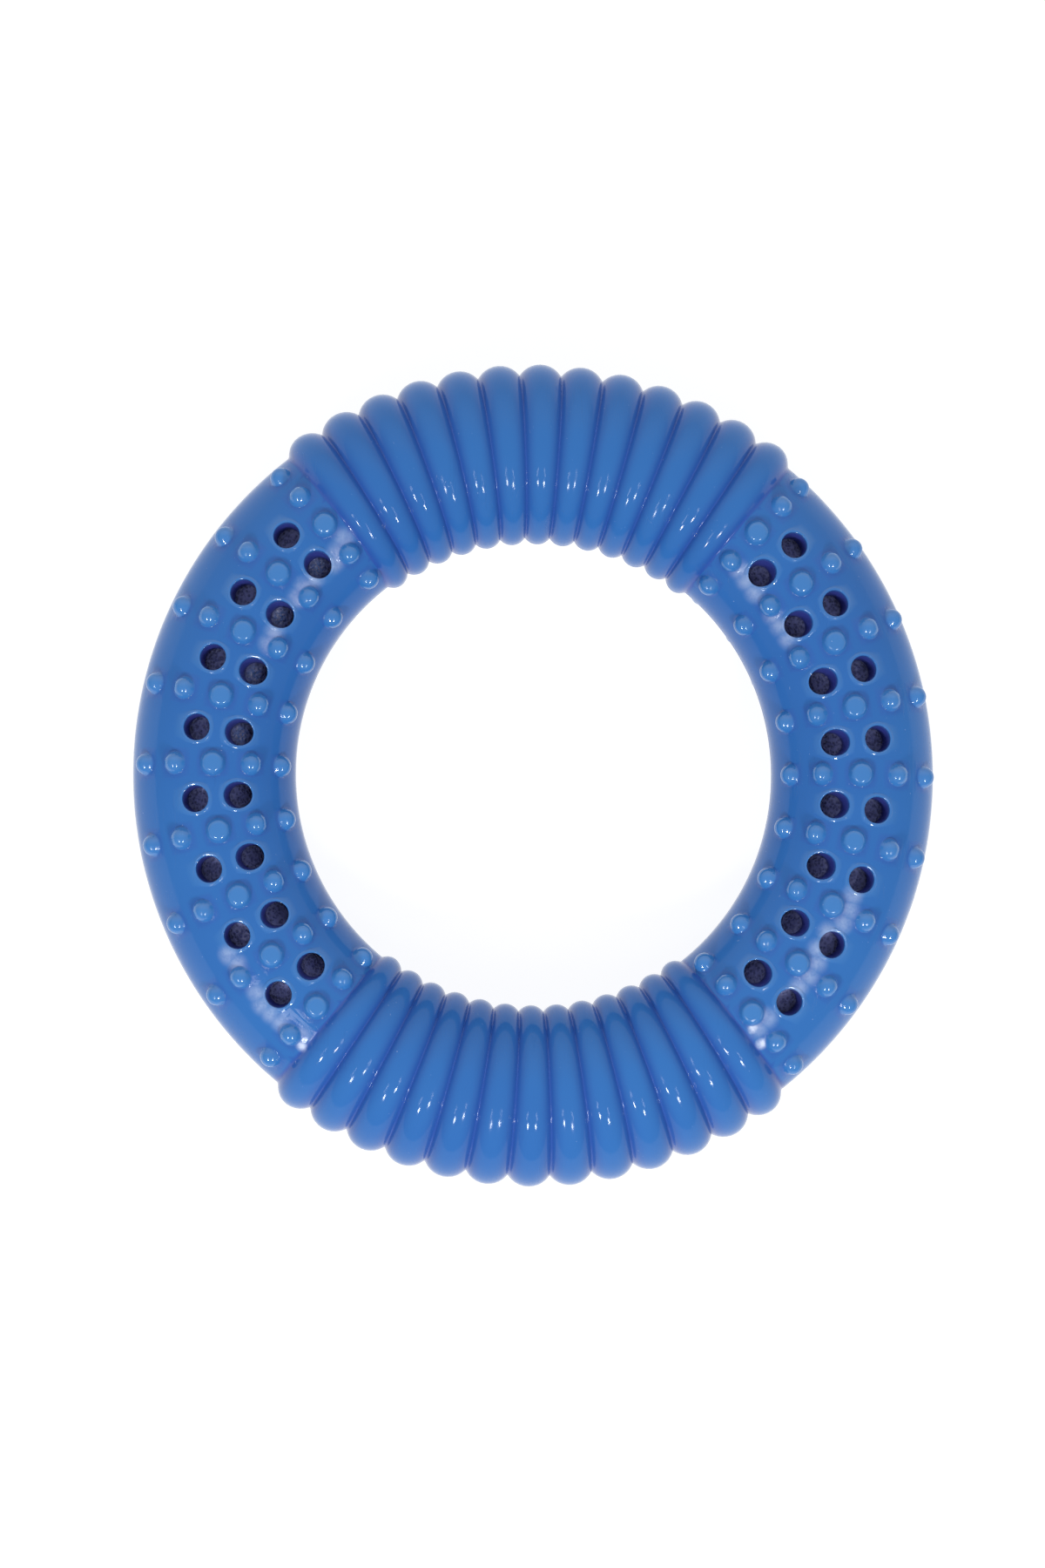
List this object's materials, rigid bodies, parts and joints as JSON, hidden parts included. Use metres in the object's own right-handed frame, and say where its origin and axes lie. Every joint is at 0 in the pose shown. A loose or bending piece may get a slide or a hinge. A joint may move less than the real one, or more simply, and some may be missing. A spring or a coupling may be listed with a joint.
{
  "type": "cooling dog toy",
  "caption": "Hollow rubber chew ring with ribbed grips and perforated, nubbed arcs whose sponge cores soak up water to be frozen.",
  "frame": {"origin": "centre of the ring on the plane that it rests on", "axes": "+Z through the ring, away from the plane it rests on; +Y through the middle of one ribbed grip; +X through the middle of one perforated arc"},
  "size_m": [0.1754, 0.1806, 0.0392],
  "materials": {
    "shell_rubber": "glossy moulded thermoplastic rubber",
    "core_sponge": "open-cell sponge"
  },
  "bodies": {
    "root": {"upper_shell": "shell_rubber", "lower_shell": "shell_rubber", "left_sponge": "core_sponge", "right_sponge": "core_sponge"}
  },
  "joints": []
}
